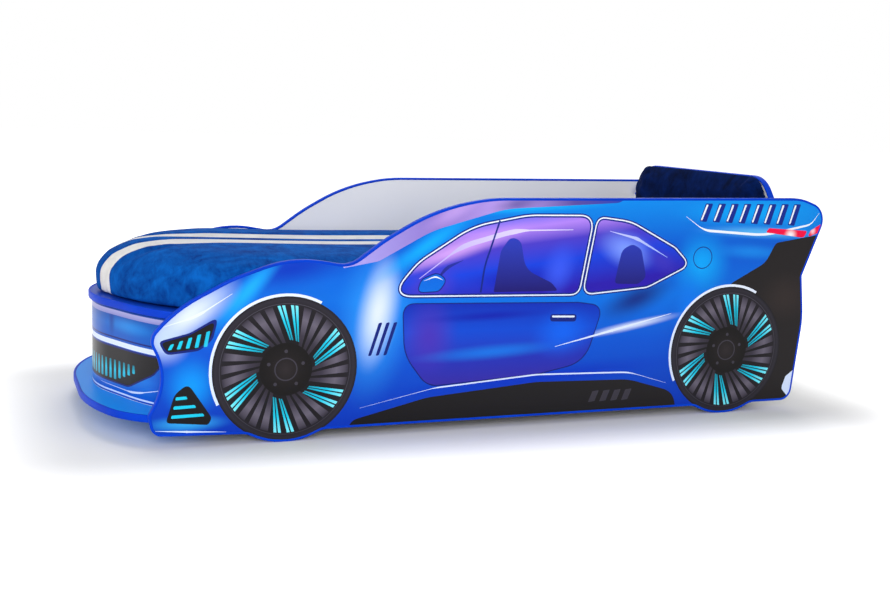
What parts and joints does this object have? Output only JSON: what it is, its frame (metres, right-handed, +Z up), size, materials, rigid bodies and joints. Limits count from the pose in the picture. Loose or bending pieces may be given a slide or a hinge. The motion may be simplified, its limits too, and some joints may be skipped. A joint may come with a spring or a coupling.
{
  "type": "car bed for children",
  "caption": "Child's bed shaped like a low sports car: printed side panels, bowed bumper box, padded headboard, slats and a fitted velour mattress.",
  "frame": {"origin": "on the floor below the middle of the bed's overall box: half way from the front splitter's nose to the tail, and on the centre line between the side panels", "axes": "+X from the bumper to the headboard, +Y from the right side panel to the left one, +Z up"},
  "size_m": [2.0309, 0.84, 0.668],
  "materials": {
    "printed_board": "gloss",
    "printed_skin": "gloss",
    "blue_board": "gloss",
    "white_board": "satin",
    "blue_edging": "satin",
    "velour": "matte",
    "foam": "matte",
    "pad_velour": "matte",
    "plywood": "matte",
    "birch_slat": "satin",
    "pine_rail": "matte",
    "beech_dowel": "matte",
    "holder_plastic": "satin",
    "cover_plastic": "satin",
    "zinc_die_cast": "satin",
    "zinc_plated_steel": "satin"
  },
  "bodies": {
    "frame": {"side_panel_left": "printed_board", "side_panel_right": "printed_board", "side_edging_left": "blue_edging", "side_edging_right": "blue_edging", "front_crossboard": "white_board", "bumper_rim_board": "blue_board", "bumper_rim_edging": "blue_edging", "bumper_splitter_board": "blue_board", "bumper_splitter_edging": "blue_edging", "bumper_skin": "printed_skin", "bumper_rib": "white_board", "bumper_end_cleats": "pine_rail", "headboard": "white_board", "headboard_edging": "blue_edging", "headboard_pad": "pad_velour", "pad_backing_board": "plywood", "slat_rail_left": "pine_rail", "slat_rail_right": "pine_rail", "slats": "birch_slat", "slat_holders": "holder_plastic", "cam_locks": "zinc_die_cast", "cam_covers": "cover_plastic", "cam_bolts": "zinc_plated_steel", "dowels": "beech_dowel", "confirmat_screws": "zinc_plated_steel", "corner_brackets": "zinc_plated_steel", "bracket_screws": "zinc_plated_steel", "rail_screws": "zinc_plated_steel", "pad_screws": "zinc_plated_steel"},
    "mattress": {"mattress_cover": "velour", "mattress_core": "foam"}
  },
  "joints": [
    {"name": "mattress_lift", "type": "slide", "parent": "frame", "child": "mattress", "axis": [0, 0, 1], "range_m": [0, 0.35]}
  ]
}
